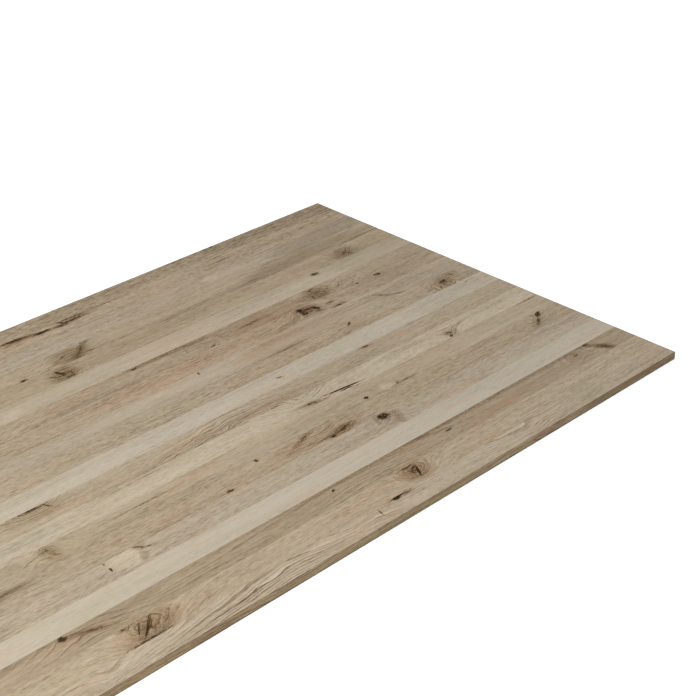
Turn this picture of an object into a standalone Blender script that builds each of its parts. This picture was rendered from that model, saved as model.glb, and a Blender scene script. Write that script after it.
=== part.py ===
"""Edge-glued oak panel.

Solid oak staves run the full length of the panel along X. They lie side by side along Y, planed
square, and each is glued to the next on its long edge. The inner staves have one width, and the
two outer ones are ripped narrower where the panel was sawn to its width. Open knots and splits
in the top face are cut as real hollows.

Units are metres and +Z is up. The origin is the middle of the underside.
"""

import math
from collections import namedtuple

import bmesh
import bpy
from mathutils import Matrix, Vector, noise

# Driving dimensions
PANEL_LENGTH = 2.500
PANEL_WIDTH = 1.210
PANEL_THICKNESS = 0.020
STAVE_PITCH = 0.061  # from one glue joint to the next
TRIM_SHIFT = 0.002  # how much further than the middle the joints lie from the far edge
GLUE_GAP = 0.0003  # room for the glue film between two staves
ARRIS = 0.0006  # eased edge round the outline of the panel, above and below

# A hollow in the top face starts as a ball of radius 1
HOLLOW_ROUNDS = 3  # subdivisions of the ball
HOLLOW_RAISE = 0.15  # share of its depth by which its widest part lies above the face

# ragged is how far the rim wanders, as a share of the radius, with so many lumps across it. sway
# is how far the whole hollow wanders off its line, in half widths, with so many bends.
Form = namedtuple("Form", "ragged lumps sway bends")
KNOT_FORM = Form(0.30, 1.7, 0.0, 0.0)
SPLIT_FORM = Form(0.16, 1.1, 1.4, 2.0)

# stave is counted from the far edge. along and across are shares of the stave's length and width,
# from its left end and its near side. long, wide and deep are metres, and turn is in degrees.
Hollow = namedtuple("Hollow", "stave along across long wide deep turn")

OPEN_KNOTS = [
    Hollow(5, 0.566, 0.59, 0.024, 0.009, 0.0030, -70),
    Hollow(6, 0.874, 0.77, 0.020, 0.008, 0.0020, -10),
    Hollow(8, 0.807, 0.84, 0.013, 0.010, 0.0045, 0),
    Hollow(8, 0.822, 0.62, 0.015, 0.010, 0.0040, -50),
    Hollow(8, 0.808, 0.48, 0.013, 0.007, 0.0030, 0),
    Hollow(10, 0.954, 0.52, 0.024, 0.006, 0.0020, 10),
    Hollow(14, 0.734, 0.16, 0.010, 0.008, 0.0020, 0),
    Hollow(15, 0.668, 0.12, 0.014, 0.005, 0.0020, 0),
    Hollow(15, 0.967, 0.84, 0.020, 0.010, 0.0025, 35),
    Hollow(16, 0.722, 0.84, 0.026, 0.018, 0.0060, 0),
    Hollow(18, 0.340, 0.85, 0.016, 0.012, 0.0025, 12),
    Hollow(20, 0.639, 0.90, 0.030, 0.008, 0.0030, 4),
]

SPLITS = [
    Hollow(2, 0.573, 0.92, 0.074, 0.0034, 0.0030, -3),
    Hollow(2, 0.601, 0.72, 0.040, 0.0040, 0.0025, 1),
    Hollow(13, 0.732, 0.25, 0.096, 0.0036, 0.0030, -6),
    Hollow(13, 0.733, 0.15, 0.040, 0.0028, 0.0020, -4),
    Hollow(19, 0.392, 0.52, 0.066, 0.0050, 0.0035, 45),
    Hollow(19, 0.386, 0.62, 0.044, 0.0030, 0.0030, 53),
    Hollow(19, 0.681, 0.53, 0.034, 0.0040, 0.0030, 62),
]

# Linear colours of sanded, unfinished oak, from the palest stave to the darkest
TONES = {
    "pale": (0.50, 0.43, 0.33),
    "light": (0.45, 0.37, 0.27),
    "tan": (0.41, 0.33, 0.23),
    "brown": (0.36, 0.28, 0.19),
}
STAVE_TONES = (
    "brown brown tan brown brown pale brown tan tan brown "
    "pale brown light tan brown tan pale brown tan light"
).split()
OAK_ROUGHNESS = 0.6

PANEL_NAME = "edge_glued_oak_panel"


def clear_scene():
    for thing in list(bpy.data.objects):
        bpy.data.objects.remove(thing, do_unlink=True)


def new_collection(name):
    collection = bpy.data.collections.new(name)
    bpy.context.scene.collection.children.link(collection)
    return collection


def oak(name, tone):
    """One stave's own material."""
    material = bpy.data.materials.new(name)
    material.use_nodes = True
    shader = material.node_tree.nodes["Principled BSDF"]
    shader.inputs["Base Color"].default_value = (*TONES[tone], 1.0)
    shader.inputs["Roughness"].default_value = OAK_ROUGHNESS
    shader.inputs["Metallic"].default_value = 0.0
    material.diffuse_color = (*TONES[tone], 1.0)
    return material


def stave_spans():
    """The far and near side of each stave along Y, from the far edge to the near one."""
    count = math.ceil(PANEL_WIDTH / STAVE_PITCH)
    outer = (PANEL_WIDTH - (count - 2) * STAVE_PITCH) / 2
    first_joint = PANEL_WIDTH / 2 - outer - TRIM_SHIFT
    joints = [first_joint - STAVE_PITCH * number for number in range(count - 1)]
    far_sides = [PANEL_WIDTH / 2] + [joint - GLUE_GAP / 2 for joint in joints]
    near_sides = [joint + GLUE_GAP / 2 for joint in joints] + [-PANEL_WIDTH / 2]
    return list(zip(far_sides, near_sides))


def is_on_outline(edge):
    """Whether an edge of a stave lies on the outline of the panel's top or underside."""
    first, second = (vertex.co for vertex in edge.verts)
    if abs(first.z - second.z) > GLUE_GAP:
        return False
    middle = (first + second) / 2
    at_end = abs(abs(middle.x) - PANEL_LENGTH / 2) < GLUE_GAP
    at_side = abs(abs(middle.y) - PANEL_WIDTH / 2) < GLUE_GAP
    return at_end or at_side


def make_stave(number, far, near, parts):
    """A planed board, with eased edges only where it meets the outline of the panel."""
    name = f"stave_{number:02d}"
    size = Vector((PANEL_LENGTH, far - near, PANEL_THICKNESS))
    middle = Vector((0.0, (far + near) / 2, PANEL_THICKNESS / 2))
    body = bmesh.new()
    bmesh.ops.create_cube(body, size=1.0, matrix=Matrix.LocRotScale(middle, None, size))
    weights = body.edges.layers.float.new("bevel_weight_edge")
    for edge in body.edges:
        edge[weights] = 1.0 if is_on_outline(edge) else 0.0
    mesh = bpy.data.meshes.new(name)
    body.to_mesh(mesh)
    body.free()
    mesh.materials.append(oak(name, STAVE_TONES[(number - 1) % len(STAVE_TONES)]))
    stave = bpy.data.objects.new(name, mesh)
    parts.objects.link(stave)
    arris = stave.modifiers.new("arris", "BEVEL")
    arris.limit_method = "WEIGHT"
    arris.width = ARRIS
    arris.segments = 2
    return stave


def ragged_ball(form, seed):
    """A closed ball of radius 1 with a wandering rim, bent sideways along its length."""
    ball = bmesh.new()
    bmesh.ops.create_icosphere(ball, subdivisions=HOLLOW_ROUNDS, radius=1.0)
    offset = Vector((3.7, 1.3, 2.1)) * seed
    for vertex in ball.verts:
        place = vertex.co.copy()
        line = Vector((place.x * form.bends, 0.0, 0.0))
        vertex.co *= 1.0 + form.ragged * noise.noise(place * form.lumps + offset)
        vertex.co.y += form.sway * noise.noise(line + offset)
    return ball


def cut_hollow(stave, span, hollow, form, seed, cutters):
    """Cut one open knot or split into the top face of a stave."""
    far, near = span
    centre = Vector((
        PANEL_LENGTH * (hollow.along - 0.5),
        near + (far - near) * hollow.across,
        PANEL_THICKNESS + hollow.deep * HOLLOW_RAISE,
    ))
    half_size = Vector((hollow.long / 2, hollow.wide / 2, hollow.deep * (1 + HOLLOW_RAISE)))
    turn = Matrix.Rotation(math.radians(hollow.turn), 4, "Z")
    place = Matrix.Translation(centre) @ turn @ Matrix.Diagonal(half_size.to_4d())
    ball = ragged_ball(form, seed)
    bmesh.ops.transform(ball, matrix=place, verts=ball.verts)
    name = f"hollow_{seed:02d}"
    mesh = bpy.data.meshes.new(name)
    ball.to_mesh(mesh)
    ball.free()
    cutter = bpy.data.objects.new(name, mesh)
    cutter.hide_render = True
    cutter.display_type = "WIRE"
    cutters.objects.link(cutter)
    cut = stave.modifiers.new(name, "BOOLEAN")
    cut.operation = "DIFFERENCE"
    cut.solver = "EXACT"
    cut.object = cutter


def main():
    clear_scene()
    parts = new_collection(PANEL_NAME)
    cutters = new_collection(f"{PANEL_NAME}_cutters")
    spans = stave_spans()
    staves = [
        make_stave(number, far, near, parts) for number, (far, near) in enumerate(spans, start=1)
    ]
    hollows = [(hollow, KNOT_FORM) for hollow in OPEN_KNOTS]
    hollows += [(hollow, SPLIT_FORM) for hollow in SPLITS]
    for seed, (hollow, form) in enumerate(hollows, start=1):
        if hollow.stave <= len(staves):
            stave, span = staves[hollow.stave - 1], spans[hollow.stave - 1]
            cut_hollow(stave, span, hollow, form, seed, cutters)


main()
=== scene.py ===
"""The looks of an edge-glued oak panel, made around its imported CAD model.

Each stave is cut from a log of its own. The grain is worked out from where a point lies in that
log: along the trunk, out from the pith and round it. So the figure on the faces, long edges and
ends belongs together, and it bends round the knots. Units are metres.
"""

import math
from collections import namedtuple

import bmesh
import bpy
from mathutils import Matrix, Vector, noise


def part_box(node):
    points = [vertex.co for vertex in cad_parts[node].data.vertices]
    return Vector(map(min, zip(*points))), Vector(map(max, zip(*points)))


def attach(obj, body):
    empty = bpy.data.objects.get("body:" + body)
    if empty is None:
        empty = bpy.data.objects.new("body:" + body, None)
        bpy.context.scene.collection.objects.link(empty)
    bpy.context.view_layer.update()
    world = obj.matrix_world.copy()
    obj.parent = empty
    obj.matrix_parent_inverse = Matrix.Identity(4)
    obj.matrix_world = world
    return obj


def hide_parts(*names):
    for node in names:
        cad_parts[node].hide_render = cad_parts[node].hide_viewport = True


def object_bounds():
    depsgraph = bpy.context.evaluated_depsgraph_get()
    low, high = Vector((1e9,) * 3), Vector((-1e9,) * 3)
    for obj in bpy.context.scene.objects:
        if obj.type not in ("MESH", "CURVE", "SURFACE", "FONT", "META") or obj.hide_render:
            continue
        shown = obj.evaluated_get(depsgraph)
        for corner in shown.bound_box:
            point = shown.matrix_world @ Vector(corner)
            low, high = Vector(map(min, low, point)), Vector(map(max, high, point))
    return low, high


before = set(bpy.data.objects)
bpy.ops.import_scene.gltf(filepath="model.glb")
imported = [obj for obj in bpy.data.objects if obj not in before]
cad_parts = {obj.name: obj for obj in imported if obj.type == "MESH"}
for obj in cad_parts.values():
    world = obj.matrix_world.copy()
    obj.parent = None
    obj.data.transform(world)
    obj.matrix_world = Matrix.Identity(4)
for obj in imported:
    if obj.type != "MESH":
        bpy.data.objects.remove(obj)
cad_low, cad_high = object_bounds()

# Places on the panel are given from its right end back, and from its far long edge down
LEFT_END = cad_low.x
RIGHT_END = cad_high.x
FAR_EDGE = cad_high.y
NEAR_EDGE = cad_low.y
TOP = cad_high.z
STAVE_COUNT = len(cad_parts)

# The photograph's camera, from the vanishing points of the panel's edges
CAMERA_PLACE = Vector((-1.654, -2.410, 1.894))
CAMERA_AHEAD = Vector((0.61817, 0.61596, -0.48833))
CAMERA_LENS_MM = 83.94
SENSOR_MM = 36.0

# Light
SKY_STRENGTH = 1.25
SKY_TINT = (0.90, 0.925, 0.975)
HORIZON_SHARE = 0.30
LAMP_PLACE = Vector((-1.2, -0.5, 2.1))
LAMP_SIZE = 1.4
LAMP_WATTS = 30.5
LAMP_TINT = (1.0, 0.97, 0.895)
FLOOR_SIZE = 60.0
FLOOR_WHITE = 0.94
FLOOR_GLOW = 0.35

# Growth
RING_WIDTH = 0.0045
MEAN_RADIUS = 0.060  # of the rings in a stave
WAVER_ACROSS = 0.030  # how far the pith wavers across the stave, and up and down
WAVER_BELOW = 0.026
SWELL = 0.010  # how far a large knot pushes the rings out
PARTING = 0.85  # how fully the grain parts to pass a large knot on both sides
LARGE_KNOT = 0.040
KNOT_FADE = 0.22  # how fast a knot's pull on the grain fades with the distance
KNOT_SHOW = 1.8  # how strongly the stave's rings show round a knot
KNOT_DEPTH = 0.030  # at which a knot has shrunk to a point
MARK_DEPTH = 0.012
CURL_DEPTH = 0.060
CURL_FADE = 1.2
CURL_TWIST = 0.050  # how far a fully twisted curl throws the rings to and fro

# Noise has so many lumps to the metre along the trunk, out from the pith and round it, or along X, Y
# and Z. detail is how many finer layers of lumps it has, and rough how strong they are.
Lumps = namedtuple("Lumps", "along out around detail rough")

WAVER = Lumps(1.6, 7.0, 7.0, 2.0, 0.5)
TWIST = Lumps(14.0, 36.0, 36.0, 1.0, 0.5)
UNEVEN_RINGS = Lumps(0.8, 110.0, 3.0, 2.0, 0.6)
SHOWN_RINGS = Lumps(3.0, 60.0, 20.0, 2.0, 0.6)
BANDS = Lumps(2.0, 55.0, 55.0, 3.0, 0.55)
STREAKS = Lumps(12.0, 150.0, 150.0, 4.0, 0.65)
FLECKS = Lumps(58.0, 290.0, 290.0, 3.0, 0.65)
FINE_LINES = Lumps(70.0, 800.0, 800.0, 2.0, 0.6)
PORES = Lumps(60.0, 1500.0, 1500.0, 1.0, 0.5)
CLOUD = Lumps(3.0, 18.0, 18.0, 3.0, 0.55)
HUE = Lumps(4.0, 26.0, 26.0, 3.0, 0.6)
RELIEF = Lumps(50.0, 700.0, 700.0, 2.0, 0.6)
SAW_LINES = Lumps(3.0, 1.0, 420.0, 3.0, 0.6)
STAVE_SHIFT = Vector((3.7, 7.0, 2.6))  # through the noise, from one stave to the next
SPOT_SHIFT = 50.0  # through the noise, for each metre from one spot to another
HUE_SHIFT = 2.0

# A growth ring, in shares of its width
RING_UNEVENNESS = 2.4  # how far noise moves it to and fro
POROUS_END = 0.42  # where its dark porous line has faded out
PALE_START = 0.70  # where its pale line begins
PALE_STRENGTH = 0.6

# How strongly each kind of grain lightens or darkens the wood, on the scale of SHADES
BANDS_WEIGHT = 0.40
CLOUD_WEIGHT = 0.35
STREAKS_WEIGHT = 0.55
FLECKS_WEIGHT = 0.95
FINE_WEIGHT = 0.50
RINGS_WEIGHT = 0.25
PORES_WEIGHT = 0.05
POROUS_WEIGHT = 0.14  # of the pores in a ring's porous line, besides
MEAN_SHADE = 0.53

# Where something sets in and where it is complete, as a level of noise or a distance from the middle
RINGS_SHOW = (-0.12, 0.12)
PORES_SHOW = (0.08, 0.20)
ROSY_SHOWS = (0.52, 0.66)
GREENISH_SHOWS = (0.48, 0.34)
SAW_LINES_SHOW = (0.40, 0.66)
PATCH_SHOWS = (1.20, 0.60)
EDGE_PATCH_SHOWS = (1.2, 0.7)
VEINS_SHOW = (1.5, 0.8)
LOOPS_SHOW = (2.3, 1.1)
PATCH_STREAKS = 1.2  # how far streaks and clouds break up the rim of a patch
PATCH_CLOUD = 1.4

# The rim of a knot or a mark is torn by noise with lumps of this length and width. detail and rough
# are as above.
TEAR_LENGTH = 0.009
TEAR_WIDTH = 0.005
TEAR_DETAIL = 4.0
TEAR_ROUGH = 0.68

# A layer of a spot has a level at each point: reach and by_dark times the spot's dark, less fall
# times the distance from its middle, and torn times the noise. It shows from start to full.
Layer = namedtuple("Layer", "torn fall reach by_dark start full")

BLACK = Layer(3.4, 1.1, 0.00, 1.15, 0.05, 0.50)
BROWN = Layer(2.8, 1.0, 0.35, 0.90, 0.00, 0.45)
STAIN = Layer(1.6, 1.0, 2.00, 0.00, 0.00, 1.30)
BROWN_STRENGTH = 0.85
STAIN_STRENGTH = 0.9
VEIN_WIDTH = 0.05  # as a level of noise to both sides of a vein
VEIN_TEAR = 1.6  # how far noise tears the outline of the veins
VEIN_STRENGTH = 0.35
VEIN_BY_BROWN = 0.6  # how much stronger veins are in a spot that stains the wood
LOOP_WIDTH = 0.0035  # of a knot's own rings
LOOP_UNEVENNESS = 2.4
LOOP_TEAR = 2.0
LOOP_END = 0.55  # where a loop's dark line has faded out, as a share of its width

# Shapes
GROWN = 0.0001  # how far a stave is grown into each glue gap
ARRIS = 0.0006
SIDEWAYS = 0.5  # least share of its normal that makes a face one of a long edge or an end
DOWNWARD = 0.7  # and one of the underside

# The UV map lays a stave out in this many lengths, one above another, with a margin round each face
LENGTHS = 4
MARGIN = 0.004


def linear(red, green, blue):
    """A colour given in the 0 to 255 steps of a screen, as light."""
    steps = (red / 255, green / 255, blue / 255)
    return tuple(s / 12.92 if s < 0.04045 else ((s + 0.055) / 1.055) ** 2.4 for s in steps)


# Tones of sanded oak
TONES = {
    "pale": linear(175, 163, 144),
    "cream": linear(172, 157, 135),
    "sand": linear(164, 149, 128),
    "tan": linear(159, 143, 120),
    "rose": linear(159, 141, 118),
    "brown": linear(153, 136, 113),
    "umber": linear(147, 130, 107),
}

# Shades of one tone, from the darkest grain to the lightest. MIDDLE is the tone itself.
MIDDLE = 0.70
SHADES = [
    (0.00, (0.22, 0.17, 0.12)),
    (0.25, (0.47, 0.435, 0.385)),
    (0.50, (MIDDLE, MIDDLE, MIDDLE)),
    (0.75, (0.85, 0.865, 0.875)),
    (1.00, (0.95, 0.98, 1.00)),
]
ROSY = (1.02, 0.955, 0.915)
GREENISH = (0.955, 0.965, 0.91)
BLACK_WOOD = (0.050, 0.030, 0.014, 1.0)
VEIN_WOOD = (0.34, 0.26, 0.17)
BROWN_WOOD = (0.42, 0.32, 0.20)
LOOP_WOOD = (0.70, 0.62, 0.52)
STAINED_WOOD = (0.78, 0.71, 0.60)
# The long edges and the ends are tinted partly for their own browner tone and partly as painted
# shade, for faces turned away from the light from above.
SIDE_TONE_AND_SHADE = (0.74, 0.68, 0.55)
SIDE_LINES = (0.70, 0.66, 0.60)
END_TONE_AND_SHADE = (0.50, 0.42, 0.32)
# A painted shaded line runs round the top of the panel's outline, where the eased arris turns away
# from the light. The tint below darkens it, and also the painted shade along the bottom of the
# edges.
SHADED_RIM_WIDTH = 0.002
PAINTED_EDGE_SHADE = (0.66, 0.62, 0.56)
FOOT_SHADE_HEIGHT = 0.004  # of the painted shaded line along the bottom of an edge, where the panel meets the floor
FACING = (0.5, 0.95)  # shares of a normal that point out along X or Y, for the tone and painted shade of an edge

# Surface
ROUGHNESS = 0.62
ROUGHNESS_BY_FINE = 0.3
ROUGHNESS_BY_PORES = 0.15
SPECULAR = 0.12
BUMP_STRENGTH = 0.35
BUMP_HEIGHT = 0.0004

# What a stave is cut like. tone and light give its colour. The pith lies so far across from the
# stave's middle and below it, and climbs so much to the metre towards the right end. rings, grain
# and mottle are how strongly its growth rings, grain and cloudiness show.
Cut = namedtuple("Cut", "tone light across below climb rings grain mottle")

CUTS = [
    Cut("umber", 1.05, 0.090, 0.020, 0.010, 0.5, 1.8, 0.9),
    Cut("brown", 1.06, -0.060, 0.050, 0.012, 0.6, 1.3, 1.4),
    Cut("sand", 0.94, 0.120, 0.030, 0.004, 0.3, 1.0, 1.0),
    Cut("brown", 1.06, 0.045, 0.060, 0.008, 0.5, 0.9, 1.2),
    Cut("umber", 1.14, -0.100, 0.025, 0.010, 0.5, 0.9, 0.9),
    Cut("cream", 0.93, 0.140, 0.010, 0.002, 0.3, 0.6, 0.8),
    Cut("brown", 0.99, -0.030, 0.055, 0.012, 0.6, 1.1, 1.2),
    Cut("rose", 0.97, 0.060, 0.045, 0.006, 0.5, 1.1, 1.1),
    Cut("sand", 0.97, -0.080, 0.050, 0.010, 0.3, 0.7, 1.0),
    Cut("tan", 0.95, 0.070, 0.030, 0.006, 0.5, 1.2, 0.8),
    Cut("pale", 0.95, -0.150, 0.000, 0.002, 0.15, 0.6, 0.6),
    Cut("tan", 1.00, 0.045, 0.045, 0.010, 0.6, 0.9, 0.9),
    Cut("cream", 0.99, -0.110, 0.030, 0.006, 0.3, 0.8, 1.0),
    Cut("tan", 0.98, 0.050, 0.060, 0.010, 0.6, 0.8, 1.3),
    Cut("brown", 1.05, -0.045, 0.040, 0.008, 0.6, 1.1, 1.1),
    Cut("sand", 0.94, 0.085, 0.035, 0.008, 0.4, 1.0, 0.8),
    Cut("pale", 0.96, 0.160, 0.010, 0.002, 0.10, 0.35, 0.5),
    Cut("umber", 1.03, 0.020, 0.060, 0.012, 0.7, 0.8, 1.1),
    Cut("tan", 1.03, -0.070, 0.040, 0.008, 0.5, 1.0, 0.8),
    Cut("sand", 1.010, 0.035, 0.040, 0.006, 0.8, 0.8, 0.6),
]

# A spot is long by wide, turned by so many degrees. dark, from -0.3 to 1.3, is how much of it is
# black, and brown how strongly it stains the wood round it. A knot has rings of its own and pushes
# the stave's rings aside. A mark is a crack, a streak or ingrown bark.
Spot = namedtuple("Spot", "back down long wide turn dark brown")

KNOTS = [
    Spot(1.080, 0.276, 0.058, 0.044, 20, 0.20, 0.9),
    Spot(0.175, 0.279, 0.062, 0.038, 38, 0.10, 0.6),
    Spot(0.315, 0.316, 0.026, 0.012, -8, 1.00, 0.4),
    Spot(0.384, 0.397, 0.056, 0.046, 0, 0.15, 0.7),
    Spot(0.466, 0.446, 0.062, 0.034, -12, 0.15, 1.0),
    Spot(0.203, 0.429, 0.024, 0.009, -8, 1.00, 0.4),
    Spot(0.275, 0.429, 0.012, 0.007, 0, 0.70, 0.3),
    Spot(0.112, 0.580, 0.056, 0.042, 35, 0.15, 0.4),
    Spot(0.074, 0.562, 0.042, 0.032, 0, 0.10, 0.3),
    Spot(0.740, 0.637, 0.016, 0.007, -20, 0.60, 0.4),
    Spot(1.452, 0.670, 0.054, 0.010, 0, 0.75, 0.7),
    Spot(0.495, 0.675, 0.028, 0.008, 0, 0.70, 0.4),
    Spot(0.303, 0.772, 0.034, 0.030, 20, 0.15, 0.5),
    Spot(1.511, 0.804, 0.036, 0.028, 60, 0.05, 0.5),
    Spot(0.664, 0.8415, 0.011, 0.009, 0, 1.10, 0.4),
    Spot(1.012, 0.857, 0.008, 0.009, 0, 1.10, 0.3),
    Spot(0.794, 0.8975, 0.066, 0.022, 6, 0.30, 0.9),
    Spot(1.125, 0.903, 0.018, 0.009, 0, 0.90, 0.5),
    Spot(0.694, 0.9215, 0.032, 0.024, 0, 0.95, 0.6),
    Spot(1.650, 1.043, 0.017, 0.014, 0, 1.10, 0.5),
    Spot(0.976, 1.051, 0.011, 0.006, 30, 1.00, 0.3),
    Spot(0.180, 1.050, 0.038, 0.026, 0, 0.00, 0.3),
    Spot(1.515, 1.125, 0.100, 0.070, 40, 0.12, 0.65),
    Spot(0.806, 1.119, 0.058, 0.044, 0, 0.20, 0.75),
    Spot(0.903, 1.160, 0.017, 0.010, 0, 1.20, 0.5),
    Spot(2.060, 0.085, 0.026, 0.014, 12, 0.80, 0.6),
    Spot(2.230, 0.268, 0.036, 0.026, -20, 0.45, 0.8),
    Spot(1.930, 0.395, 0.016, 0.010, 0, 1.00, 0.4),
    Spot(2.340, 0.452, 0.044, 0.030, 15, 0.35, 0.8),
    Spot(1.990, 0.575, 0.020, 0.011, 0, 0.80, 0.5),
    Spot(2.160, 0.700, 0.032, 0.020, 30, 0.55, 0.7),
    Spot(2.400, 0.880, 0.024, 0.016, 0, 0.90, 0.6),
    Spot(2.080, 0.826, 0.012, 0.008, 0, 1.00, 0.4),
    Spot(1.960, 1.075, 0.036, 0.022, -15, 0.45, 0.8),
    Spot(2.300, 1.120, 0.050, 0.036, 35, 0.30, 0.9),
]

MARKS = [
    Spot(0.400, 0.004, 0.010, 0.005, 0, 1.0, 0.3),
    Spot(0.025, 0.057, 0.080, 0.004, 0, 0.7, 0.4),
    Spot(1.072, 0.0645, 0.104, 0.014, -3, 0.60, 1.0),
    Spot(0.9975, 0.0755, 0.050, 0.012, 0, 0.90, 0.8),
    Spot(0.945, 0.082, 0.044, 0.010, -8, 0.45, 0.8),
    Spot(0.935, 0.068, 0.036, 0.011, -45, 0.50, 0.8),
    Spot(0.898, 0.0620, 0.096, 0.009, 0, 0.55, 0.9),
    Spot(0.912, 0.0745, 0.104, 0.014, 4, 0.60, 1.0),
    Spot(0.800, 0.062, 0.160, 0.005, 0, 0.4, 0.6),
    Spot(0.435, 0.062, 0.070, 0.004, 6, 0.4, 0.5),
    Spot(0.440, 0.085, 0.090, 0.004, -2, 0.4, 0.4),
    Spot(0.986, 0.210, 0.086, 0.015, 42, 0.30, 0.7),
    Spot(0.955, 0.187, 0.036, 0.007, 10, 0.4, 0.4),
    Spot(1.008, 0.235, 0.032, 0.007, 0, 0.6, 0.6),
    Spot(1.162, 0.2365, 0.022, 0.011, 0, 0.8, 0.5),
    Spot(0.965, 0.183, 0.008, 0.005, 0, 0.5, 0.4),
    Spot(1.084, 0.266, 0.028, 0.008, -70, 1.0, 0.7),
    Spot(1.074, 0.293, 0.028, 0.006, 0, 0.9, 0.5),
    Spot(1.061, 0.281, 0.026, 0.005, 85, 0.7, 0.4),
    Spot(1.105, 0.272, 0.032, 0.006, -40, 0.5, 0.4),
    Spot(0.180, 0.266, 0.040, 0.005, 42, 0.2, 0.5),
    Spot(0.163, 0.291, 0.034, 0.008, -55, 0.3, 0.6),
    Spot(0.950, 0.371, 0.026, 0.011, 0, 0.8, 0.6),
    Spot(0.860, 0.370, 0.220, 0.014, 0, -0.10, 0.9),
    Spot(0.750, 0.4185, 0.018, 0.004, 10, 1.0, 0.3),
    Spot(0.612, 0.3965, 0.068, 0.008, 2, 0.2, 1.0),
    Spot(0.386, 0.371, 0.052, 0.006, 12, 0.4, 0.5),
    Spot(0.409, 0.405, 0.024, 0.005, 70, 0.6, 0.6),
    Spot(0.368, 0.404, 0.026, 0.005, -65, 0.6, 0.6),
    Spot(0.483, 0.434, 0.015, 0.012, 0, 1.3, 0.7),
    Spot(0.446, 0.448, 0.020, 0.012, -55, 1.0, 0.7),
    Spot(0.481, 0.456, 0.015, 0.008, 0, 1.1, 0.6),
    Spot(0.398, 0.4545, 0.030, 0.010, 0, 0.3, 0.8),
    Spot(0.390, 0.4805, 0.040, 0.010, 0, 0.5, 0.9),
    Spot(0.860, 0.493, 0.011, 0.006, 80, 0.9, 0.3),
    Spot(0.278, 0.520, 0.040, 0.009, -45, 0.25, 0.7),
    Spot(0.245, 0.539, 0.056, 0.007, -18, 0.20, 0.6),
    Spot(0.640, 0.5515, 0.120, 0.006, 0, 0.10, 0.9),
    Spot(0.445, 0.568, 0.022, 0.007, 35, 0.8, 0.5),
    Spot(0.114, 0.575, 0.026, 0.006, 10, 0.9, 0.5),
    Spot(0.140, 0.594, 0.036, 0.004, 55, 0.5, 0.4),
    Spot(0.070, 0.618, 0.018, 0.004, 10, 0.4, 0.3),
    Spot(1.420, 0.679, 0.026, 0.006, -60, 0.6, 0.6),
    Spot(0.670, 0.7745, 0.094, 0.0045, -6, 1.2, 0.4),
    Spot(0.667, 0.781, 0.042, 0.0036, 0, 1.0, 0.3),
    Spot(0.640, 0.787, 0.042, 0.003, 0, 0.7, 0.4),
    Spot(0.765, 0.773, 0.066, 0.012, -10, 0.5, 0.8),
    Spot(0.313, 0.784, 0.011, 0.006, 20, 1.1, 0.3),
    Spot(0.311, 0.768, 0.011, 0.005, 0, 0.8, 0.3),
    Spot(0.285, 0.768, 0.014, 0.006, 30, 0.2, 0.3),
    Spot(0.262, 0.7555, 0.050, 0.005, 5, 0.2, 0.4),
    Spot(0.040, 0.7935, 0.090, 0.005, 0, 0.4, 0.5),
    Spot(1.506, 0.826, 0.024, 0.008, -50, 0.1, 0.5),
    Spot(1.275, 0.812, 0.160, 0.005, 0, 0.2, 0.7),
    Spot(0.566, 0.844, 0.016, 0.009, 60, 0.3, 0.5),
    Spot(0.540, 0.8465, 0.054, 0.006, 0, 0.3, 0.8),
    Spot(1.640, 0.862, 0.080, 0.008, 0, 0.0, 0.7),
    Spot(0.880, 0.864, 0.088, 0.011, 20, 0.25, 0.8),
    Spot(0.830, 0.905, 0.018, 0.008, 0, 0.9, 0.6),
    Spot(0.845, 0.899, 0.076, 0.006, 4, 0.20, 0.7),
    Spot(0.788, 0.894, 0.034, 0.012, 20, 0.40, 0.6),
    Spot(0.082, 0.861, 0.024, 0.012, 35, 1.1, 0.5),
    Spot(0.108, 0.884, 0.044, 0.009, 38, 0.6, 0.8),
    Spot(1.461, 0.920, 0.009, 0.005, 80, 0.8, 0.3),
    Spot(1.461, 0.941, 0.011, 0.005, 80, 1.0, 0.3),
    Spot(1.378, 0.922, 0.024, 0.007, -40, 0.7, 0.5),
    Spot(1.362, 0.932, 0.032, 0.005, -15, 0.5, 0.5),
    Spot(0.668, 0.944, 0.044, 0.018, 70, -0.3, 0.5),
    Spot(0.719, 0.928, 0.024, 0.010, 80, -0.2, 0.5),
    Spot(1.600, 1.058, 0.084, 0.012, -17, 0.25, 0.8),
    Spot(0.635, 1.062, 0.018, 0.006, 0, 0.9, 0.7),
    Spot(0.092, 1.078, 0.046, 0.020, -52, 0.4, 0.9),
    Spot(0.127, 1.040, 0.016, 0.007, 0, 0.8, 0.4),
    Spot(0.640, 1.0385, 0.900, 0.012, 0, -0.10, 0.6),
    Spot(1.5195, 1.1245, 0.080, 0.007, 45, 0.60, 0.9),
    Spot(1.5355, 1.118, 0.048, 0.003, 53, 0.6, 0.3),
    Spot(1.542, 1.140, 0.040, 0.012, 50, 0.25, 0.7),
    Spot(1.538, 1.153, 0.095, 0.006, 0, 0.8, 0.7),
    Spot(1.556, 1.100, 0.028, 0.013, 0, 0.35, 0.7),
    Spot(0.798, 1.1235, 0.040, 0.006, 62, 1.1, 0.8),
    Spot(0.812, 1.122, 0.016, 0.005, 80, 0.9, 0.5),
    Spot(0.811, 1.0985, 0.056, 0.006, 0, 0.8, 0.6),
    Spot(0.800, 1.110, 0.032, 0.008, 30, 0.7, 0.5),
    Spot(0.896, 1.158, 0.056, 0.0045, 0, 1.0, 0.4),
    Spot(0.873, 1.162, 0.032, 0.008, 0, 0.5, 0.7),
    Spot(0.963, 1.174, 0.022, 0.004, 80, 0.5, 0.4),
]

# A curl is where the rings bulge by push, and twist about. show is how strongly they show there.
Curl = namedtuple("Curl", "back down long wide turn push twist show")

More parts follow.
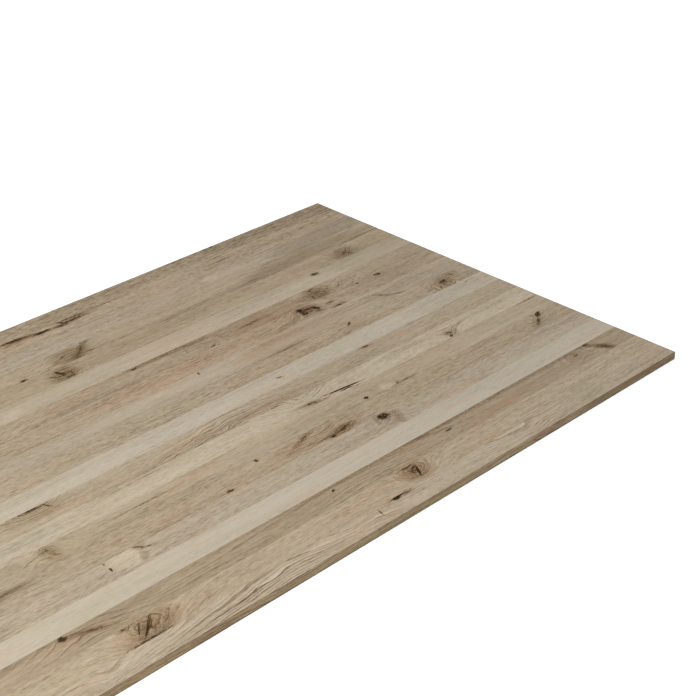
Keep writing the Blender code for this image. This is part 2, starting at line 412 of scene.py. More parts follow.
CURLS = [
    Curl(0.430, 0.075, 0.160, 0.070, 0, 0.012, 0.3, 1.5),
    Curl(1.020, 0.212, 0.140, 0.080, 0, 0.010, 0.3, 1.5),
    Curl(0.175, 0.272, 0.120, 0.090, 30, 0.020, 0.3, 1.5),
    Curl(0.770, 0.400, 0.160, 0.090, 0, 0.018, 0.5, 1.2),
    Curl(0.320, 0.395, 0.120, 0.090, 0, 0.020, 0.4, 1.5),
    Curl(0.470, 0.440, 0.130, 0.090, 0, 0.020, 0.3, 1.5),
    Curl(0.260, 0.520, 0.150, 0.070, 0, 0.012, 0.2, 1.2),
    Curl(0.110, 0.580, 0.130, 0.090, 0, 0.030, 0.5, 2.4),
    Curl(1.450, 0.669, 0.150, 0.100, 0, -0.020, 0.2, 2.5),
    Curl(0.930, 0.728, 0.460, 0.300, 0, 0.026, 0.3, 1.9),
    Curl(1.140, 0.728, 0.130, 0.080, 20, 0.008, 0.3, 1.9),
    Curl(0.988, 0.722, 0.050, 0.060, 0, -0.007, 0.3, 1.6),
    Curl(0.822, 0.724, 0.110, 0.060, 0, 0.010, 0.3, 2.1),
    Curl(0.560, 0.702, 0.130, 0.060, 10, 0.012, 0.3, 1.9),
    Curl(0.765, 0.758, 0.240, 0.110, 0, 0.040, 0.2, 2.0),
    Curl(0.430, 0.752, 0.170, 0.080, 0, -0.014, 0.4, 1.4),
    Curl(0.303, 0.772, 0.100, 0.070, 0, 0.014, 0.2, 1.5),
    Curl(1.530, 0.815, 0.130, 0.090, 0, 0.010, 0.3, 0.8),
    Curl(0.860, 0.880, 0.260, 0.080, 0, 0.016, 0.3, 1.0),
    Curl(0.100, 0.880, 0.140, 0.080, 35, 0.018, 0.3, 1.3),
    Curl(0.690, 0.935, 0.090, 0.080, 0, 0.018, 0.2, 0.8),
    Curl(1.620, 1.060, 0.240, 0.070, 0, 0.012, 0.1, 1.5),
    Curl(0.900, 1.070, 0.360, 0.080, 0, 0.012, 0.0, 1.2),
    Curl(0.170, 1.055, 0.120, 0.080, 0, 0.006, 0.2, 1.2),
    Curl(1.520, 1.125, 0.180, 0.090, 0, 0.024, 0.2, 0.9),
    Curl(0.805, 1.120, 0.120, 0.080, 0, 0.020, 0.3, 1.2),
    Curl(1.640, 1.180, 0.110, 0.080, 0, -0.009, 0.3, 1.0),
    Curl(1.300, 1.209, 0.620, 0.240, 0, 0.018, 0.1, 1.7),
    Curl(1.190, 1.209, 0.300, 0.240, 0, 0.011, 0.1, 1.7),
    Curl(0.980, 1.190, 0.120, 0.070, 0, 0.008, 0.2, 1.6),
    Curl(0.520, 1.190, 0.340, 0.080, 0, -0.014, 0.3, 2.0),
]

# A patch is a cloudy region of another tint, of a given strength
Patch = namedtuple("Patch", "back down long wide turn tint strength")

TINTS = {
    # The next tint is darker and greyer. On its patches at the right end it is painted shade: the
    # light falling off towards that end, strongest at the far corner.
    "dusk_and_far_shade": (0.74, 0.71, 0.67),
    "olive": (0.68, 0.63, 0.53),
    "ashen": (0.90, 0.95, 1.00),
    "pink": (1.01, 0.91, 0.86),
    "red": (0.86, 0.75, 0.66),
    "pale": (1.24, 1.27, 1.29),
    "rust": (0.88, 0.80, 0.86),
}

PATCHES = [
    # Patches of the darker grey tint that reach the right end, strongest on the far staves, are
    # painted shade: light falling off towards that end.
    Patch(0.100, 0.030, 0.700, 0.070, 0, "dusk_and_far_shade", 0.5),
    Patch(1.060, 0.070, 0.120, 0.030, 0, "dusk_and_far_shade", 0.6),
    Patch(0.520, 0.152, 0.080, 0.050, 0, "pale", 0.4),
    Patch(0.160, 0.150, 0.560, 0.090, 0, "dusk_and_far_shade", 0.8),
    Patch(0.240, 0.208, 0.560, 0.090, 0, "dusk_and_far_shade", 0.8),
    Patch(0.100, 0.334, 0.400, 0.090, 0, "dusk_and_far_shade", 0.4),
    Patch(0.600, 0.150, 0.800, 0.080, 0, "pink", 0.4),
    Patch(1.018, 0.212, 0.110, 0.074, 10, "olive", 0.75),
    Patch(1.150, 0.208, 0.200, 0.070, 0, "pale", 0.35),
    Patch(0.860, 0.205, 0.140, 0.060, 0, "pale", 0.25),
    Patch(0.460, 0.232, 0.900, 0.022, 0, "dusk_and_far_shade", 0.6),
    Patch(0.170, 0.278, 0.120, 0.060, -40, "dusk_and_far_shade", 0.5),
    Patch(1.270, 0.345, 0.070, 0.030, 20, "pale", 0.4),
    Patch(0.560, 0.395, 0.440, 0.080, 0, "red", 0.55),
    Patch(0.620, 0.395, 0.420, 0.080, 0, "dusk_and_far_shade", 0.2),
    Patch(1.420, 0.395, 0.420, 0.080, 0, "pale", 0.30),
    Patch(0.780, 0.450, 0.780, 0.080, 0, "pink", 0.65),
    Patch(0.466, 0.446, 0.044, 0.030, 0, "pink", 1.0),
    Patch(0.540, 0.465, 0.110, 0.024, 12, "olive", 0.7),
    Patch(0.150, 0.455, 0.340, 0.070, 0, "dusk_and_far_shade", 0.35),
    Patch(0.580, 0.520, 0.560, 0.080, 0, "red", 0.60),
    Patch(0.160, 0.520, 0.400, 0.070, 0, "dusk_and_far_shade", 0.25),
    Patch(0.580, 0.580, 0.560, 0.080, 0, "pink", 0.5),
    Patch(0.150, 0.637, 0.420, 0.070, 0, "dusk_and_far_shade", 0.20),
    Patch(0.600, 0.700, 0.440, 0.080, 0, "dusk_and_far_shade", 0.2),
    Patch(1.660, 0.760, 0.460, 0.090, 0, "ashen", 0.8),
    Patch(1.450, 0.685, 0.170, 0.060, 0, "olive", 0.4),
    Patch(1.660, 0.821, 0.460, 0.090, 0, "ashen", 0.6),
    Patch(1.540, 0.830, 0.240, 0.060, 0, "pink", 0.4),
    Patch(1.508, 0.830, 0.040, 0.040, 0, "red", 0.6),
    Patch(1.552, 0.806, 0.052, 0.046, -20, "pale", 0.5),
    Patch(0.596, 0.838, 0.036, 0.030, 0, "pale", 0.8),
    Patch(1.640, 0.864, 0.130, 0.034, 0, "dusk_and_far_shade", 0.7),
    Patch(1.660, 0.882, 0.460, 0.090, 0, "ashen", 0.6),
    Patch(0.900, 0.880, 0.300, 0.060, 0, "red", 0.40),
    Patch(0.110, 0.882, 0.080, 0.030, 38, "dusk_and_far_shade", 0.5),
    Patch(0.685, 0.940, 0.060, 0.060, 0, "dusk_and_far_shade", 0.3),
    Patch(1.418, 0.937, 0.100, 0.070, -10, "pale", 0.9),
    Patch(1.490, 0.942, 0.300, 0.070, 0, "dusk_and_far_shade", 0.2),
    Patch(1.386, 0.948, 0.024, 0.034, -40, "dusk_and_far_shade", 0.9),
    Patch(1.378, 0.922, 0.040, 0.026, -40, "olive", 0.5),
    Patch(1.560, 1.054, 0.300, 0.024, 0, "dusk_and_far_shade", 0.5),
    Patch(0.300, 1.068, 0.560, 0.030, 0, "dusk_and_far_shade", 0.4),
    Patch(0.475, 1.078, 0.280, 0.034, 0, "pink", 0.8),
    Patch(0.108, 1.062, 0.076, 0.024, -52, "olive", 0.9),
    Patch(1.500, 1.126, 0.120, 0.080, 0, "dusk_and_far_shade", 0.5),
    Patch(1.575, 1.130, 0.070, 0.060, 0, "pink", 0.5),
    Patch(1.546, 1.112, 0.034, 0.040, 50, "pale", 0.6),
    Patch(0.806, 1.120, 0.090, 0.060, 0, "red", 0.5),
    Patch(0.160, 1.183, 0.560, 0.080, 0, "dusk_and_far_shade", 0.2),
]

# Stretches of the near long edge, as patches there
EDGE_PATCHES = [
    Patch(1.440, 1.210, 0.110, 0.020, 0, "rust", 0.8),
    Patch(1.240, 1.210, 0.080, 0.020, 0, "rust", 0.6),
    Patch(0.470, 1.210, 0.120, 0.020, 0, "rust", 1.0),
    # This stretch paints shade on the near long edge towards the right end.
    Patch(0.060, 1.210, 0.560, 0.020, 0, "dusk_and_far_shade", 1.0),
]

# Open knots and splits, where the CAD model has its hollows. The fourth split lies 1.5 mm beside its
# own, where the finer cut of this script would empty the stave.
Hollow = namedtuple("Hollow", "back down long wide deep turn")

# A hollow is cut by a ball of radius 1, scaled. ragged is how far its rim wanders, as a share of the
# radius, and sway how far a split wanders off its line, in half widths.
Form = namedtuple("Form", "ragged sway")

KNOT_FORM = Form(0.35, 0.0)
SPLIT_FORM = Form(0.25, 1.4)
HOLLOW_ROUNDS = 5  # subdivisions of the ball
HOLLOW_RAISE = 0.15  # share of its depth by which its widest part lies above the face
RIM_LUMPS = 1.7
RIM_FRACTAL = (0.9, 2.1, 3)  # how smooth its finer lumps are, how much finer, and how many layers
SPLIT_BENDS = 2.0
BALL_SHIFT = Vector((3.7, 1.3, 2.1))  # through the noise, for each seed
SEEDS_PER_METRE = 10  # of a hollow's way from the right end

OPEN_KNOTS = [
    Hollow(1.0850, 0.2660, 0.024, 0.009, 0.0030, -70),
    Hollow(0.3150, 0.3160, 0.020, 0.008, 0.0020, -10),
    Hollow(0.4825, 0.4338, 0.013, 0.010, 0.0045, 0),
    Hollow(0.4450, 0.4472, 0.015, 0.010, 0.0040, -50),
    Hollow(0.4800, 0.4557, 0.013, 0.007, 0.0030, 0),
    Hollow(0.1150, 0.5753, 0.024, 0.006, 0.0020, 10),
    Hollow(0.6650, 0.8412, 0.010, 0.008, 0.0020, 0),
    Hollow(0.8300, 0.9047, 0.014, 0.005, 0.0020, 0),
    Hollow(0.0825, 0.8608, 0.020, 0.010, 0.0025, 35),
    Hollow(0.6950, 0.9218, 0.026, 0.018, 0.0060, 0),
    Hollow(1.6500, 1.0432, 0.016, 0.012, 0.0025, 12),
    Hollow(0.9025, 1.1614, 0.030, 0.008, 0.0030, 4),
]

SPLITS = [
    Hollow(1.0675, 0.0629, 0.074, 0.0034, 0.0030, -3),
    Hollow(0.9975, 0.0751, 0.040, 0.0040, 0.0025, 1),
    Hollow(0.6700, 0.7748, 0.096, 0.0036, 0.0030, -6),
    Hollow(0.6660, 0.7809, 0.040, 0.0028, 0.0020, -4),
    Hollow(1.5200, 1.1243, 0.066, 0.0050, 0.0035, 45),
    Hollow(1.5350, 1.1182, 0.044, 0.0030, 0.0030, 53),
    Hollow(0.7975, 1.1237, 0.034, 0.0040, 0.0030, 62),
]


class Field:
    """A number, colour or vector that varies over a surface: one output of a shader node."""

    def __init__(self, graph, socket):
        self.graph = graph
        self.socket = socket

    def math(self, operation, *others):
        inputs = dict(enumerate((self, *others)))
        return self.graph.add("ShaderNodeMath", inputs, operation=operation)

    def __add__(self, other):
        return self.math("ADD", other)

    def __sub__(self, other):
        return self.math("SUBTRACT", other)

    def __mul__(self, other):
        return self.math("MULTIPLY", other)

    def __truediv__(self, other):
        return self.math("DIVIDE", other)

    def ease(self, start, end):
        """From 0 at start to 1 at end, smoothly. start may be the larger one."""
        inputs = {0: self, 1: start, 2: end, 3: 0.0, 4: 1.0}
        return self.graph.add("ShaderNodeMapRange", inputs, interpolation_type="SMOOTHSTEP")


class Graph:
    """Adds shader nodes to one material or world."""

    def __init__(self, tree):
        self.tree = tree

    def add(self, kind, inputs, output=0, **settings):
        """A new node with its inputs joined or set."""
        node = self.tree.nodes.new(kind)
        for name, value in settings.items():
            setattr(node, name, value)
        for key, value in inputs.items():
            if isinstance(value, Field):
                self.tree.links.new(value.socket, node.inputs[key])
            else:
                node.inputs[key].default_value = value
        return Field(self, node.outputs[output])

    def parts(self, vector):
        node = self.tree.nodes.new("ShaderNodeSeparateXYZ")
        self.tree.links.new(vector.socket, node.inputs[0])
        return [Field(self, socket) for socket in node.outputs]

    def vector(self, *parts):
        return self.add("ShaderNodeCombineXYZ", dict(enumerate(parts)))

    def length(self, vector):
        return self.add("ShaderNodeVectorMath", {0: vector}, 1, operation="LENGTH")

    def noise(self, place, lumps, shift, output="Fac"):
        """Noise from 0 to 1, or a colour of three such noises."""
        inputs = {0: place, 1: (lumps.along, lumps.out, lumps.around), 2: shift}
        place = self.add("ShaderNodeVectorMath", inputs, operation="MULTIPLY_ADD")
        inputs = {
            "Vector": place,
            "Scale": 1.0,
            "Detail": lumps.detail,
            "Roughness": lumps.rough,
        }
        return self.add("ShaderNodeTexNoise", inputs, output)

    def mix(self, share, first, second):
        return self.add("ShaderNodeMix", {0: share, 6: first, 7: second}, 2, data_type="RGBA")

    def tint(self, share, colour, by):
        """The colour multiplied by another, as far as share says."""
        inputs = {0: share, 6: colour, 7: (*by, 1.0)}
        settings = {"data_type": "RGBA", "blend_type": "MULTIPLY"}
        return self.add("ShaderNodeMix", inputs, 2, **settings)

    def ramp(self, value, stops):
        node = self.tree.nodes.new("ShaderNodeValToRGB")
        self.tree.links.new(value.socket, node.inputs[0])
        elements = node.color_ramp.elements
        for position, _ in stops[1:-1]:
            elements.new(position)
        for element, (position, colour) in zip(elements, stops):
            element.position = position
            element.color = (*colour, 1.0)
        return Field(self, node.outputs[0])

    def local(self, place, spot, depth=1.0):
        """The place as a spot sees it: from its middle, in half lengths, half widths and depths."""
        inputs = {
            "Vector": place,
            "Location": spot_centre(spot),
            "Rotation": (0.0, 0.0, math.radians(spot.turn)),
            "Scale": (spot.long / 2, spot.wide / 2, depth),
        }
        return self.add("ShaderNodeMapping", inputs, vector_type="TEXTURE")

    def distance(self, place, spot, depth=1.0):
        """How far a point is from a spot's middle, 1 being its rim."""
        return self.length(self.local(place, spot, depth))


def spot_centre(spot):
    return Vector((RIGHT_END - spot.back, FAR_EDGE - spot.down, TOP))


def on_stave(spots, low, high):
    """The spots whose middle lies on the stave between these corners."""
    return [spot for spot in spots if low.y <= spot_centre(spot).y < high.y]


def largest(fields):
    """The largest of some fields at each point, or None where there are none."""
    top = None
    for field in fields:
        top = top.math("MAXIMUM", field) if top else field
    return top


class TornSpot:
    """A knot or a mark as fields over the surface, with a torn rim."""

    def __init__(self, graph, place, spot, shift, depth):
        self.spot = spot
        local = graph.local(place, spot, depth)
        self.distance = graph.length(local)
        lumps = Lumps(
            along=spot.long / 2 / TEAR_LENGTH,
            out=spot.wide / 2 / TEAR_WIDTH,
            around=1.0,
            detail=TEAR_DETAIL,
            rough=TEAR_ROUGH,
        )
        own_shift = shift + spot_centre(spot) * SPOT_SHIFT
        self.tear = graph.noise(local, lumps, own_shift) - 0.5

    def layer(self, layer):
        """How far a layer of the spot shows, from 0 to 1."""
        reach = layer.reach + layer.by_dark * self.spot.dark
        level = self.tear * layer.torn - self.distance * layer.fall + reach
        return level.ease(layer.start, layer.full)

    def black(self):
        """Where the wood is rotten, blackened or gone."""
        return self.layer(BLACK)

    def brown(self):
        """A close brown rim round what is black."""
        return self.layer(BROWN) * BROWN_STRENGTH

    def stain(self):
        """A soft stain in the wood round the spot."""
        return self.layer(STAIN) * self.spot.brown

    def veins(self):
        """Fine dark checks that branch through the spot."""
        lines = self.tear.math("ABSOLUTE").ease(VEIN_WIDTH, 0.0)
        inside = (self.distance + self.tear * VEIN_TEAR).ease(*VEINS_SHOW)
        return lines * inside * (VEIN_STRENGTH + VEIN_BY_BROWN * self.spot.brown)

    def loops(self):
        """The rings of a knot of its own."""
        rings = self.distance * (self.spot.wide / 2 / LOOP_WIDTH) + self.tear * LOOP_UNEVENNESS
        near = (self.distance + self.tear * LOOP_TEAR).ease(*LOOPS_SHOW)
        return rings.math("FRACT").ease(LOOP_END, 0.0) * near * self.spot.brown

    def near(self):
        """1 at the spot, fading over a few of its widths."""
        return (self.distance * self.distance * -KNOT_FADE).math("EXPONENT")

    def size(self):
        return min(1.0, self.spot.wide / LARGE_KNOT)


class Oak:
    """The oak of one stave, built up as fields over its surface."""

    def __init__(self, number, low, high):
        self.cut = CUTS[number - 1]
        self.low = low
        self.high = high
        self.material = bpy.data.materials.new(f"oak_{number:02d}")
        self.material.use_nodes = True
        self.graph = Graph(self.material.node_tree)
        self.shift = STAVE_SHIFT * number
        self.place = self.graph.add("ShaderNodeTexCoord", {}, "Object")
        self.knots = self.torn_spots(KNOTS, KNOT_DEPTH)
        self.marks = self.torn_spots(MARKS, MARK_DEPTH)
        self.find_in_log()
        self.grow_rings()
        self.grow_grain()

    def torn_spots(self, spots, depth):
        spots = on_stave(spots, self.low, self.high)
        return [TornSpot(self.graph, self.place, spot, self.shift, depth) for spot in spots]

    def noise(self, place, lumps):
        """Noise about 0, of this stave's own."""
        return self.graph.noise(place, lumps, self.shift) - 0.5

    def find_in_log(self):
        """Where a point lies in the log: how far along, out from the pith and round it."""
        middle = (self.low + self.high) / 2
        x, y, z = self.graph.parts(self.place)
        waver = self.graph.noise(self.place, WAVER, self.shift, "Color")
        _, waver_y, waver_z = self.graph.parts(waver)
        across = (y - (middle.y + self.cut.across)) + (waver_y - 0.5) * WAVER_ACROSS
        for knot in self.knots:
            aside = y - spot_centre(knot.spot).y
            across = across - aside * knot.near() * (PARTING * knot.size())
        below = (z - (middle.z - self.cut.below)) - x * self.cut.climb
        below = below + (waver_z - 0.5) * WAVER_BELOW
        self.out = (across * across + below * below).math("SQRT")
        for knot in self.knots:
            self.out = self.out + knot.near() * (SWELL * knot.size())
        self.lively = [knot.stain() * KNOT_SHOW for knot in self.knots]
        self.bend_curls()
        around = across.math("ARCTAN2", below) * MEAN_RADIUS
        self.log = self.graph.vector(x, self.out, around)

    def bend_curls(self):
        """Push and twist the rings at each curl."""
        curls = on_stave(CURLS, self.low, self.high)
        if not curls:
            return
        twist = self.noise(self.place, TWIST)
        for curl in curls:
            away = self.graph.distance(self.place, curl, CURL_DEPTH)
            near = (away * away * -CURL_FADE).math("EXPONENT")
            self.out = self.out + near * (twist * (CURL_TWIST * curl.twist) + curl.push)
            self.lively.append(near * curl.show)

    def grow_rings(self):
        """Growth rings: a dark porous line, fading outwards, with a pale one before it."""
        uneven = self.noise(self.log, UNEVEN_RINGS)
        ring = (self.out / RING_WIDTH + uneven * RING_UNEVENNESS).math("FRACT")
        show = self.noise(self.log, SHOWN_RINGS).ease(*RINGS_SHOW) * self.cut.rings
        if self.lively:
            show = show.math("MAXIMUM", largest(self.lively))
        self.porous = ring.ease(POROUS_END, 0.0)
        self.rings = (self.porous - ring.ease(PALE_START, 1.0) * PALE_STRENGTH) * show

    def grow_grain(self):
        """Long bands, streaks, short flecks, fine lines, open pores and cloudiness."""
        self.bands = self.noise(self.log, BANDS)
        self.streaks = self.noise(self.log, STREAKS)
        self.flecks = self.noise(self.log, FLECKS)
        self.fine = self.noise(self.log, FINE_LINES)
        self.pores = self.noise(self.log, PORES).ease(*PORES_SHOW)
        self.cloud = self.noise(self.place, CLOUD)

    def plain_colour(self):
        """The wood without its patches and spots."""
        cut = self.cut
        value = (
            self.bands * (BANDS_WEIGHT * cut.mottle)
            + self.cloud * (CLOUD_WEIGHT * cut.mottle)
            + self.streaks * (STREAKS_WEIGHT * cut.grain)
            + self.flecks * (FLECKS_WEIGHT * cut.grain)
            + self.fine * (FINE_WEIGHT * cut.grain)
            - self.rings * RINGS_WEIGHT
            - self.pores * (self.porous * POROUS_WEIGHT + PORES_WEIGHT)
            + MEAN_SHADE
        )
        base = tuple(part * cut.light / MIDDLE for part in TONES[cut.tone])
        colour = self.graph.tint(1.0, self.graph.ramp(value, SHADES), base)
        hue = self.graph.noise(self.place, HUE, self.shift * HUE_SHIFT)
        colour = self.graph.tint(hue.ease(*ROSY_SHOWS), colour, ROSY)
        return self.graph.tint(hue.ease(*GREENISH_SHOWS), colour, GREENISH)

    def with_patches(self, colour):
        for patch in on_stave(PATCHES, self.low, self.high):
            away = self.graph.distance(self.place, patch)
            away = away + self.streaks * PATCH_STREAKS + self.cloud * PATCH_CLOUD
            share = away.ease(*PATCH_SHOWS) * patch.strength
            colour = self.graph.tint(share, colour, TINTS[patch.tint])
        return colour

    def with_spots(self, colour):
        """Stains first, then a knot's own rings, and what is darkest last."""
        spots = self.knots + self.marks
        if not spots:
            return colour
        tint = self.graph.tint
        stain = largest(spot.stain() for spot in spots) * STAIN_STRENGTH
        colour = tint(stain, colour, STAINED_WOOD)
        if self.knots:
            colour = tint(largest(knot.loops() for knot in self.knots), colour, LOOP_WOOD)
        colour = tint(largest(spot.veins() for spot in spots), colour, VEIN_WOOD)
        colour = tint(largest(spot.brown() for spot in spots), colour, BROWN_WOOD)
        return self.graph.mix(largest(spot.black() for spot in spots), colour, BLACK_WOOD)

    def finish(self):
        """Join the fields to the stave's shader and return the material."""
        colour = self.with_spots(self.with_patches(self.plain_colour()))
        patches = on_stave(EDGE_PATCHES, self.low, self.high)
        colour = edge_tones_and_shade(self.graph, colour, self.place, self.shift, patches)
        roughness = self.fine * ROUGHNESS_BY_FINE + self.pores * ROUGHNESS_BY_PORES + ROUGHNESS
        relief = self.graph.noise(self.place, RELIEF, self.shift)
        inputs = {"Strength": BUMP_STRENGTH, "Distance": BUMP_HEIGHT, "Height": relief}
        bump = self.graph.add("ShaderNodeBump", inputs)
        shader = self.material.node_tree.nodes["Principled BSDF"]
        shader.inputs["Specular IOR Level"].default_value = SPECULAR
        joined = {"Base Color": colour, "Roughness": roughness, "Normal": bump}
        for name, field in joined.items():
            self.material.node_tree.links.new(field.socket, shader.inputs[name])
        return self.material


def edge_tones_and_shade(graph, colour, place, shift, patches):
    """Planed long edges are browner than the sanded faces, and end grain is darker still. Both tints
    also paint shade on faces turned away from the light from above, and painted shaded lines run
    round the top of the outline and along the bottom of the edges.
    """
    x, y, z = graph.parts(place)
    # A painted shaded line round the top of the outline, for the eased arris turned away from the
    # light
    past_end = x.math("ABSOLUTE") - (RIGHT_END - SHADED_RIM_WIDTH)
    past_side = y.math("ABSOLUTE") - (FAR_EDGE - SHADED_RIM_WIDTH)
    shaded_rim = past_end.math("MAXIMUM", past_side).ease(0.0, SHADED_RIM_WIDTH / 2)
    colour = graph.tint(shaded_rim * z.ease(TOP - SHADED_RIM_WIDTH, TOP), colour, PAINTED_EDGE_SHADE)
    normal = graph.add("ShaderNodeNewGeometry", {}, "Normal")
    n_x, n_y, _ = graph.parts(normal)
    is_side = n_y.math("ABSOLUTE").ease(*FACING)
    is_end = n_x.math("ABSOLUTE").ease(*FACING)
    lines = graph.noise(place, SAW_LINES, shift)
    colour = graph.tint(is_side * lines.ease(*SAW_LINES_SHOW), colour, SIDE_LINES)
    # Painted contact shade along the bottom of the long edges and ends, where they meet the floor
    foot_shade = z.ease(FOOT_SHADE_HEIGHT, FOOT_SHADE_HEIGHT / 3)
    colour = graph.tint(foot_shade * is_side.math("MAXIMUM", is_end), colour, PAINTED_EDGE_SHADE)
    for patch in patches:
        share = graph.distance(place, patch).ease(*EDGE_PATCH_SHOWS) * patch.strength
        colour = graph.tint(is_side * share, colour, TINTS[patch.tint])
    # Painted shade besides the browner tone: long edges and ends darkened as faces turned away from
    # the light from above
    colour = graph.tint(is_side, colour, SIDE_TONE_AND_SHADE)
    return graph.tint(is_end, colour, END_TONE_AND_SHADE)


def stave_body(low, high):
    """The planed board, eased where it meets the outline of the panel."""
    body = bmesh.new()
    matrix = Matrix.LocRotScale((low + high) / 2, None, high - low)
    bmesh.ops.create_cube(body, size=1.0, matrix=matrix)
    outline = []
    for edge in body.edges:
        first, second = (vertex.co for vertex in edge.verts)
        middle = (first + second) / 2
        is_level = abs(first.z - second.z) < GROWN
        at_end = abs(abs(middle.x) - RIGHT_END) < GROWN
        at_side = abs(abs(middle.y) - FAR_EDGE) < GROWN / 2
        if is_level and (at_end or at_side):
            outline.append(edge)
    bmesh.ops.bevel(body, geom=outline, offset=ARRIS, segments=3, profile=0.5, affect="EDGES")
    return body


def ragged_ball(form, seed):
    """A ball of radius 1 with a wandering rim, bent sideways along its length."""
    ball = bmesh.new()
    bmesh.ops.create_icosphere(ball, subdivisions=HOLLOW_ROUNDS, radius=1.0)
    offset = BALL_SHIFT * seed
    for vertex in ball.verts:
        place = vertex.co.copy()
        line = Vector((place.x * SPLIT_BENDS, 0.0, 0.0))
        wave = noise.fractal(place * RIM_LUMPS + offset, *RIM_FRACTAL)
        vertex.co *= 1.0 + form.ragged * wave
        vertex.co.y += form.sway * noise.noise(line + offset)
    return ball


def make_cutter(hollow, form):
    """The ragged ball of one open knot or split, in its place in the top face."""
    half_size = Vector((hollow.long / 2, hollow.wide / 2, hollow.deep * (1 + HOLLOW_RAISE)))
    turn = Matrix.Rotation(math.radians(hollow.turn), 4, "Z")
    centre = spot_centre(hollow) + Vector((0.0, 0.0, hollow.deep * HOLLOW_RAISE))
    place = Matrix.Translation(centre) @ turn @ Matrix.Diagonal(half_size.to_4d())
    ball = ragged_ball(form, hollow.back * SEEDS_PER_METRE)
    bmesh.ops.transform(ball, matrix=place, verts=ball.verts)
    mesh = bpy.data.meshes.new("hollow")
    ball.to_mesh(mesh)
    ball.free()
    cutter = bpy.data.objects.new("hollow", mesh)
    bpy.context.scene.collection.objects.link(cutter)
    return cutter


def cut_hollows(stave, low, high):
    """Cut the open knots and splits of one stave as real hollows."""
    cutters = [make_cutter(hollow, KNOT_FORM) for hollow in on_stave(OPEN_KNOTS, low, high)]
    cutters += [make_cutter(hollow, SPLIT_FORM) for hollow in on_stave(SPLITS, low, high)]
    for cutter in cutters:
        cut = stave.modifiers.new("hollow", "BOOLEAN")
        cut.operation = "DIFFERENCE"
        cut.solver = "EXACT"
        cut.object = cutter
    if cutters:
        shaped = stave.evaluated_get(bpy.context.evaluated_depsgraph_get())
        mesh = bpy.data.meshes.new_from_object(shaped)
        stave.modifiers.clear()
        stave.data = mesh
    for cutter in cutters:
        bpy.data.objects.remove(cutter, do_unlink=True)


def divide_faces(mesh):
    """Divide the long faces where one length of the UV map ends and the next begins."""
    body = bmesh.new()
    body.from_mesh(mesh)
    for number in range(1, LENGTHS):
        fold = Vector((LEFT_END + (RIGHT_END - LEFT_END) * number / LENGTHS, 0.0, 0.0))
        geometry = body.verts[:] + body.edges[:] + body.faces[:]
        bmesh.ops.bisect_plane(body, geom=geometry, plane_co=fold, plane_no=(1.0, 0.0, 0.0))
    body.to_mesh(mesh)
    body.free()


def face_kind(normal, centre, low, high):
    """Which side of the stave a face belongs to. A hollow's faces belong to the top."""
    if normal.z < -DOWNWARD and centre.z < (low.z + high.z) / 2:
        return "underside"
    if abs(normal.y) > SIDEWAYS and abs(normal.y) > abs(normal.z):
        if centre.y - low.y < ARRIS:
            return "near"
        if high.y - centre.y < ARRIS:
            return "far"
    if abs(normal.x) > SIDEWAYS and abs(normal.x) > abs(normal.z):
        if centre.x - low.x < ARRIS:
            return "left"
        if high.x - centre.x < ARRIS:
            return "right"
    return "top"


def unfold(mesh, low, high):
    """Give the stave a UV map at one scale: its lengths lie one above another, faces apart."""
    size = high - low
    length = size.x / LENGTHS
    shelves = {
        "top": MARGIN,
        "underside": 2 * MARGIN + size.y,
        "near": 3 * MARGIN + 2 * size.y,
        "far": 4 * MARGIN + 2 * size.y + size.z,
    }
    block = 4 * MARGIN + 2 * size.y + 2 * size.z
    ends = {"left": MARGIN, "right": 2 * MARGIN + size.y}
    scale = 1.0 / (block * LENGTHS + MARGIN)
    uv_map = mesh.uv_layers.new(name="OFBake")
    for face in mesh.polygons:
        kind = face_kind(face.normal, face.center, low, high)
        number = min(LENGTHS - 1, int((face.center.x - low.x) / length))
        for loop in face.loop_indices:
            place = mesh.vertices[mesh.loops[loop].vertex_index].co - low
            if kind in ends:
                along = length + 2 * MARGIN + place.z
                up = ends[kind] + place.y
            else:
                along = MARGIN + place.x - number * length
                up = number * block + shelves[kind]
                up += place.z if kind in ("near", "far") else place.y
            uv_map.data[loop].uv = (along * scale, up * scale)


def make_stave(number):
    """One stave, which takes the place of its CAD node."""
    node = f"stave_{number:02d}"
    low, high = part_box(node)
    low, high = low.copy(), high.copy()
    low.y = max(low.y - GROWN, NEAR_EDGE)
    high.y = min(high.y + GROWN, FAR_EDGE)
    body = stave_body(low, high)
    mesh = bpy.data.meshes.new(f"oak_stave_{number:02d}")
    body.to_mesh(mesh)
    body.free()
    stave = bpy.data.objects.new(mesh.name, mesh)
    bpy.context.scene.collection.objects.link(stave)
    cut_hollows(stave, low, high)
    divide_faces(stave.data)
    unfold(stave.data, low, high)
    stave.data.materials.clear()
    stave.data.materials.append(Oak(number, low, high).finish())
    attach(stave, "root")
    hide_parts(node)


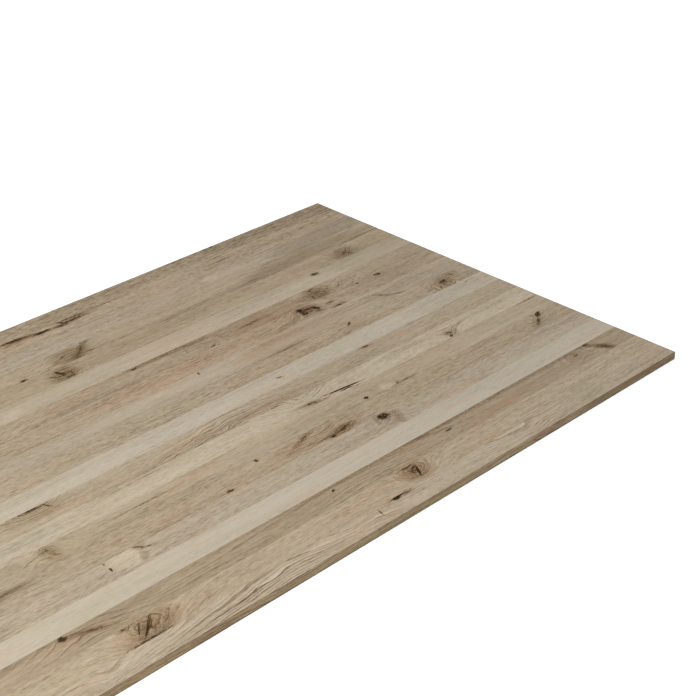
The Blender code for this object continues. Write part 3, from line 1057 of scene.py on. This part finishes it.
def make_floor():
    bpy.ops.mesh.primitive_plane_add(size=FLOOR_SIZE)
    floor = bpy.context.object
    floor.name = "floor"
    material = bpy.data.materials.new("floor")
    material.use_nodes = True
    shader = material.node_tree.nodes["Principled BSDF"]
    shader.inputs["Base Color"].default_value = (FLOOR_WHITE, FLOOR_WHITE, FLOOR_WHITE, 1.0)
    shader.inputs["Roughness"].default_value = 1.0
    shader.inputs["Specular IOR Level"].default_value = 0.0
    shader.inputs["Emission Color"].default_value = (1.0, 1.0, 1.0, 1.0)
    shader.inputs["Emission Strength"].default_value = FLOOR_GLOW
    floor.data.materials.append(material)


def make_sky():
    """Soft studio light, brighter from above than from the horizon."""
    world = bpy.data.worlds.new("studio")
    world.use_nodes = True
    bpy.context.scene.world = world
    graph = Graph(world.node_tree)
    back = world.node_tree.nodes["Background"]
    towards = graph.add("ShaderNodeTexCoord", {}, "Generated")
    _, _, up = graph.parts(towards)
    horizon = (*(HORIZON_SHARE * part for part in SKY_TINT), 1.0)
    light = graph.mix(up.ease(0.0, 1.0), horizon, (*SKY_TINT, 1.0))
    seen = graph.add("ShaderNodeLightPath", {}, "Is Camera Ray")
    light = graph.mix(seen, light, (1.0, 1.0, 1.0, 1.0))
    world.node_tree.links.new(light.socket, back.inputs["Color"])
    back.inputs["Strength"].default_value = SKY_STRENGTH


def make_lamp():
    lamp = bpy.data.lights.new("softbox", "AREA")
    lamp.shape = "SQUARE"
    lamp.size = LAMP_SIZE
    lamp.energy = LAMP_WATTS
    lamp.color = LAMP_TINT
    holder = bpy.data.objects.new("softbox", lamp)
    holder.location = LAMP_PLACE
    bpy.context.scene.collection.objects.link(holder)


def make_camera():
    data = bpy.data.cameras.new("camera")
    data.lens = CAMERA_LENS_MM
    data.sensor_width = SENSOR_MM
    camera = bpy.data.objects.new("camera", data)
    camera.location = CAMERA_PLACE
    camera.rotation_euler = CAMERA_AHEAD.to_track_quat("-Z", "Y").to_euler()
    bpy.context.scene.collection.objects.link(camera)
    bpy.context.scene.camera = camera


make_camera()
make_sky()
make_lamp()
make_floor()
for stave_number in range(1, STAVE_COUNT + 1):
    make_stave(stave_number)

bpy.context.scene.view_settings.view_transform = "Standard"
